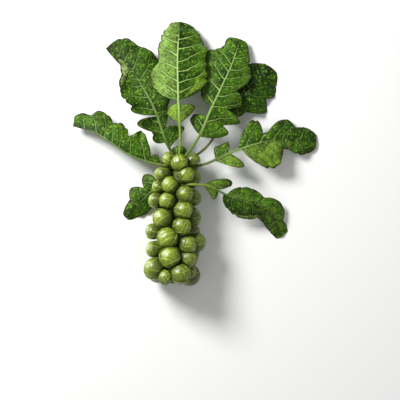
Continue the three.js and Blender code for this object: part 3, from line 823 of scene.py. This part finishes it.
# The core: a closed globe under the wrapper leaves, whose heel runs in to the stem
def coreGlobe(body, size):
    rows, columns = sprouts["coreRows"], sprouts["coreColumns"]
    tilt = np.linspace(0, np.pi, rows + 2)[1:-1][:, None, None]
    turn = np.linspace(0, 2 * np.pi, columns, endpoint=False)[None, :, None]
    axis, first, second = body["axes"]
    direction = np.cos(tilt) * axis + np.sin(tilt) * np.cos(turn) * first
    direction = (direction + np.sin(tilt) * np.sin(turn) * second).reshape(-1, 3)
    direction = join([direction, [axis, -axis * body["heel"]]])
    stretch = lengths(direction)
    direction = unit(direction)
    reach = pressed(body["radius"] * size * stretch, direction, *body["planes"])
    return body["centre"] + direction * reach[:, None], *ringFaces(rows, columns)


# What a head needs: its place, axes and heel, the planes around it and one to its stem
def makeBody(centre, radius, axis, neighbours, stemWay, stemRoom, heel):
    normals, offsets = cellPlanes(centre, radius, *neighbours)
    planes = join([normals, [stemWay]]), join([offsets, [stemRoom]])
    return {"centre": centre, "radius": radius, "axes": bodyAxes(axis),
            "planes": planes, "heel": heel}


# A whole head: its core, then wrapper leaves from the inside out, in one mesh. green is its share
# of painted shade.
def makeHead(name, body, wrappers, coreSize, material, node, green=0.0):
    points, quads, poles = coreGlobe(body, coreSize)
    rows, columns = sprouts["rows"], sprouts["columns"]
    allPoints, faceGroups = [points], [quads]
    places = [np.tile([[0.0, 0.4, 0.2]], (len(points), 1))]
    uvs = [np.full((quads.size, 2), 0.5)]
    start = len(points)
    for wrapper in wrappers:
        outer, inner, counted, out, place = wrapperLeaf(body, **wrapper)
        groups = shellFaces(rows, columns, start)
        for group in groups:
            corners = ((group - start) % (rows * columns)).ravel()
            uvs.append(np.stack([counted.ravel()[corners], out.ravel()[corners]], -1))
            faceGroups.append(group)
        allPoints += [outer.reshape(-1, 3), inner.reshape(-1, 3)]
        places += [place.reshape(-1, 3)] * 2
        start += 2 * rows * columns
    faceGroups.append(poles)
    uvs.append(np.full((poles.size, 2), 0.5))
    faceCount = sum(len(group) for group in faceGroups)
    points, places, uvs = (join(part) for part in (allPoints, places, uvs))
    # Angles from the axis, for painted shade around the girth, and from a direction between the
    # axis and the lamp at the upper left, for the painted highlight; and each sprout's share of
    # painted shade
    toPoint = unit(points - body["centre"])
    crown = np.arccos(np.clip(toPoint @ body["axes"][0], -1, 1)) / np.pi
    towards = unit(0.5 * body["axes"][0] + unit(np.array(sprouts["paintedHighlightSide"])))
    paintedHighlight = np.arccos(np.clip(toPoint @ towards, -1, 1)) / np.pi
    shares = {"crownShare": crown, "paintedHighlightShare": paintedHighlight, "paintedShade": np.full(len(points), green)}
    index = np.zeros(faceCount)
    makePiece(name, points, faceGroups, uvs, places, [material], index, node, shares)


def bodyAxes(axis):
    axis = unit(axis)
    first = np.cross([0.0, 1.0, 0.0], axis)
    if lengths(first) < 0.1:
        first = np.array([1.0, 0.0, 0.0])
    first = unit(first)
    return axis, first, np.cross(axis, first)


sproutLook = dict(leafLook, **{
    "spacing": 4.2, "sideWidth": 0.62, "wanderScale": 160, "wander": 0.5,
    "branchSpacing": 2.4, "branchLean": 3, "branchWander": 3, "branchWidth": 0.4,
    "netScale": 520, "ribBase": 1.3, "ribTip": 0.5, "ribEnd": 2.0, "veinsEnd": 2.0,
    # deep, the darkest green, also paints shade around each sprout's girth and over the shaded
    # sprouts
    "vein": (178, 196, 74), "pale": (140, 158, 26), "base": (94, 120, 10), "deep": (22, 44, 2),
    # The near-white green below is painted highlight, laid in patches on the side towards the lamp
    "margin": (160, 178, 56), "paintedHighlight": (212, 222, 178), "patchScale": 30, "paintedHighlightScale": 110,
    "grainScale": 500, "bumpHeight": 0.0004, "roughness": 0.36, "roughScale": 150,
    "gloss": 0.42, "coatRoughness": 0.22,
})


# A sprout's skin: yellow-green, paler at each leaf's heart, with pale veins and a thin
# pale margin, pale patches of painted highlight where it faces up and left towards the lamp,
# and painted shade in deep green around its girth
def sproutMaterial(name, look):
    material, tree, shader = newSkin(name)
    strong, fine, (_, margin, along), spot, shade = veinMask(tree, look)
    patch = ramp(noise(spot, look["patchScale"]), 0.35, 0.65)
    green = mixColour(patch, look["base"], look["pale"])
    green = tint(green, ramp(along, 0.15, 0.8), 0.35, look["pale"])
    speckle = ramp(noise(spot, look["speckleScale"], 3.0), 0.45, 0.75)
    green = tint(green, speckle, 0.35, look["deep"])
    # Painted highlight: pale patches where the sprout faces up and left, towards the lamp
    crown, paintedHighlight = attributeOf(tree, "crownShare"), attributeOf(tree, "paintedHighlightShare")
    uneven = scaled(noise(spot, look["paintedHighlightScale"]), 0.16, paintedHighlight)
    paintedHighlightPatch = times(ramp(uneven, 0.25, 0.14, 0.85), ramp(speckle, 1.0, 0.2))
    green = mixColour(paintedHighlightPatch, green, look["paintedHighlight"])
    # Painted shade: deep green around the girth, where the globe turns away from the light and
    # meets the stem
    green = mixColour(ramp(crown, 0.15, 0.46, 0.97), green, look["deep"])
    # Painted shade: each sprout's own darkening, strongest on those that stand on the right, away
    # from the lamp
    paintedSproutShade = attributeOf(tree, "paintedShade")
    for mask, strength, colour in ((paintedSproutShade, 0.8, "deep"), (shade, 0.3, "deep"),
                                   (fine, 0.4, "vein"), (strong, 0.7, "vein")):
        green = tint(green, mask, strength, look[colour])
    green = mixColour(ramp(margin, 0.86, 0.98, 0.7), green, look["margin"])
    put(shader, "Base Color", green)
    grain = noise(spot, look["grainScale"])
    height = scaled(calc("MAXIMUM", strong, fine), 0.8, grain)
    addBump(shader, height, 0.22, look["bumpHeight"])
    roughen(shader, spot, look["roughScale"], 0.14, look["roughness"])
    put(shader, "Specular IOR Level", look["gloss"])
    put(shader, "Coat Weight", look["gloss"] * 0.6)
    put(shader, "Coat Roughness", look["coatRoughness"])
    return material


# Wrapper leaves of one sprout, inner to outer: (turn, tip angle, width, size, flare)
wrapperPlan = [
    (0.0, -24, 62, 0.935, 0.010), (3.3, -6, 64, 0.945, 0.016),
    (1.5, 14, 66, 0.957, 0.024), (4.6, 24, 66, 0.967, 0.030),
    (0.6, 40, 68, 0.980, 0.040), (2.7, 50, 68, 0.990, 0.045), (4.9, 58, 66, 1.000, 0.048),
]


def makeSprouts():
    centres, outwards, radii = sproutSpots()
    budPlace, budRadius = budCentre()
    neighbours = join([centres, [budPlace]]), join([radii, [budRadius]]), petioleLines()
    skin = sproutMaterial("sprout_skin", sproutLook)
    for k in range(sprouts["count"]):
        toStem = lengths(centres[k] - stemCentre(centres[k][1]))
        room = toStem - stemRadius(centres[k][1] - radii[k]) - stalk["gap"]
        axis = outwards[k] + np.array([0, np.tan(np.radians(sprouts["upTilt"])), 0])
        body = makeBody(centres[k], radii[k], axis, neighbours, -outwards[k], room, sprouts["heel"])
        wrappers = []
        for i, (turn, tip, width, size, flare) in enumerate(wrapperPlan):
            change = np.sin(7.3 * k + 2.9 * i)
            wrappers.append({
                "turn": turn + 2.4 * k + 0.3 * change, "tip": tip + 7 * change,
                "width": width + 4 * np.cos(3.1 * k + i), "size": size,
                "flare": flare * (1 + 0.4 * change), "seed": 1.7 * k + i})
        node = f"sprout_{k + 1:02d}"
        # Painted shade: full on the sprouts that stand low on the right, and as listed for the
        # others
        shaded = float(k % sprouts["lowRightEvery"] == 0)      # these stand low on the right
        green = paintedShade.get(k + 1, shaded)
        makeHead(node + "_leaves", body, wrappers, sprouts["coreSize"], skin, node, green)
    print("sprouts made:", sprouts["count"])


# The bud at the stem's top: young leaves, dark and crinkled

bud = {"aboveStem": 5, "radius": 13.5, "leaves": 11, "coreSize": 0.8, "flare": 0.16}
budLook = dict(sproutLook, **{
    # As on the sprouts, deep paints shade around the girth, and the green listed after the margin's
    # paints the highlight towards the lamp
    "vein": (120, 150, 50), "pale": (78, 112, 24), "base": (52, 84, 14), "deep": (26, 50, 6),
    "margin": (92, 124, 30), "paintedHighlight": (66, 100, 20), "roughness": 0.6, "gloss": 0.15,
})


def budCentre():
    return stemCentre(stalk["topY"] + bud["aboveStem"]), bud["radius"]


def makeBud():
    centres, _, radii = sproutSpots()
    up = np.array([0, 1.0, 0])
    room = bud["aboveStem"] - stalk["gap"]
    body = makeBody(*budCentre(), up, (centres, radii, petioleLines()), -up, room, 1.0)
    wrappers = []
    for i in range(bud["leaves"]):
        share = i / (bud["leaves"] - 1)
        wrappers.append({
            "turn": 2.4 * i, "tip": blend(-10, 52, share), "width": blend(40, 46, share),
            "size": blend(0.84, 1.0, share), "flare": bud["flare"], "seed": 2.1 * i})
    skin = sproutMaterial("bud_skin", budLook)
    makeHead("top_bud_leaves", body, wrappers, bud["coreSize"], skin, "top_bud")
    print("bud made")


makeSprouts()
makeBud()


# The stem: fibrous, in dark greens that stand in as painted shade where it shows between the
# sprouts, with a raised scar under each sprout and a cut end

stem = {
    "rows": 260, "columns": 96, "inset": 0.35, "fibre": 0.12, "meanRadius": 13,
    "scarHeight": 0.35, "scarBelow": 12, "scarTall": 3.0, "scarWide": 5.5,
    "cutRings": (0.15, 0.4, 0.7, 0.9, 0.97),           # shares of the radius, from the middle
    # The streaks' greens are darkened as painted shade for the gaps between the sprouts; the cut
    # end keeps its own pale colours
    "light": (84, 110, 34), "dark": (40, 64, 14), "cut": (206, 212, 158), "cutEdge": (150, 168, 90),
}


# Rows run up the stem and columns around it: the radius is the taper, plus fine ribs
# that wander around it, plus a rounded bump for each scar. The ends close on a point.
def makeStem():
    centres, outwards, _ = sproutSpots()
    y = np.linspace(stalk["bottomY"], stalk["topY"], stem["rows"])[:, None]
    turn = np.linspace(0, 2 * np.pi, stem["columns"], endpoint=False)[None, :]
    ribs = stem["fibre"] * np.sin(17 * turn + 0.8 * np.sin(y / 21)) * np.sin(5 * turn + y / 34)
    radius = stemRadius(y) - stem["inset"] + ribs
    spotTurn = np.arctan2(outwards[:, 0], outwards[:, 2])
    for scarY, scarTurn in zip(centres[:, 1] - stem["scarBelow"], spotTurn):
        swing = np.abs((turn - scarTurn + np.pi) % (2 * np.pi) - np.pi) * stem["meanRadius"]
        away = ((y - scarY) / stem["scarTall"]) ** 2 + (swing / stem["scarWide"]) ** 2
        radius = radius + stem["scarHeight"] * (np.exp(-away) - 1.6 * np.exp(-4 * away))
    middle = stemCentre(y + 0 * turn)
    outward = np.stack([np.sin(turn) + 0 * y, 0 * (y + turn), np.cos(turn) + 0 * y], -1)
    wall = middle + outward * radius[..., None]
    share = np.array(stem["cutRings"])[:, None]
    cut = stemCentre(stalk["bottomY"] + 0.7 - 0.9 * share + 0 * turn)
    cut = cut + outward[0] * (radius[0] * share)[..., None]
    rings = join([cut, wall])
    rows, columns = rings.shape[:2]
    poles = [stemCentre(stalk["bottomY"] + 0.8), stemCentre(stalk["topY"])]
    points = join([rings.reshape(-1, 3), poles])
    quads, ends = ringFaces(rows, columns)
    quads, ends = quads[:, [0, 3, 2, 1]], ends[:, [0, 2, 1]]      # rings wound the other way
    inCut = (quads < len(cut) * columns).all(1)
    isCut = join([inCut, np.ones(columns), np.zeros(columns)])
    uv = np.zeros((quads.size + ends.size, 2))
    place = np.zeros((len(points), 3))
    skins = [stemMaterial("stem_skin", stem["light"], stem["dark"], (900, 40, 900)),
             stemMaterial("stem_cut", stem["cut"], stem["cutEdge"], (260, 260, 260))]
    makePiece("stem_skin", points, [quads, ends], uv, place, skins, isCut, "stem")
    print("stem made")


# Streaks of two greens, drawn out along the stem by a Mapping node
def stemMaterial(name, light, dark, scale):
    material, tree, shader = newSkin(name)
    spot = addNode(tree, "TexCoord").outputs["Object"]
    drawn = addNode(tree, "Mapping", {"Vector": spot, "Scale": scale}).outputs[0]
    streak = noise(drawn, 1.0, 3.0)
    share = ramp(calc("ADD", streak, noise(spot, 60)), 0.75, 1.2)
    put(shader, "Base Color", mixColour(share, light, dark))
    addBump(shader, streak, 0.4, 0.0005)
    put(shader, "Roughness", 0.55)
    return material


makeStem()


# The pale table and soft light from the upper left

studio = {
    "table": 4.0, "tableColour": (0.9, 0.9, 0.89, 1.0),
    "lamps": {"key": ((-1.05, 0.88, 1.2), 0.7, 46), "fill": ((1.2, -0.9, 1.6), 1.6, 4)},
    "sky": 0.36,                         # a lamp is its place, its size and its power
}


def addLamp(name, place, size, power):
    data = bpy.data.lights.new(name, "AREA")
    data.shape = "DISK"
    data.size = size
    data.energy = power
    lamp = addObject(name, data)
    lamp.location = place
    towards = Vector((0, 0, view["aimHeight"])) - Vector(place)
    lamp.rotation_euler = towards.to_track_quat("-Z", "Y").to_euler()


def makeStudio():
    half = studio["table"] / 2
    corners = [(-half, -half, 0), (half, -half, 0), (half, half, 0), (-half, half, 0)]
    mesh = bpy.data.meshes.new("table")
    mesh.from_pydata(corners, [], [(0, 1, 2, 3)])
    table = addObject("table", mesh)
    material, _, shader = newSkin("table_paper")
    put(shader, "Base Color", studio["tableColour"])
    put(shader, "Roughness", 0.9)
    put(shader, "Specular IOR Level", 0.1)
    mesh.materials.append(material)
    for name, lamp in studio["lamps"].items():
        addLamp(name, *lamp)
    world = bpy.data.worlds.new("sky")
    world.use_nodes = True
    light = world.node_tree.nodes["Background"]
    put(light, "Color", (1, 1, 1, 1))
    put(light, "Strength", studio["sky"])
    scene = bpy.context.scene
    scene.world = world
    scene.view_settings.view_transform = "Standard"
    print("table and lamps set")


makeStudio()
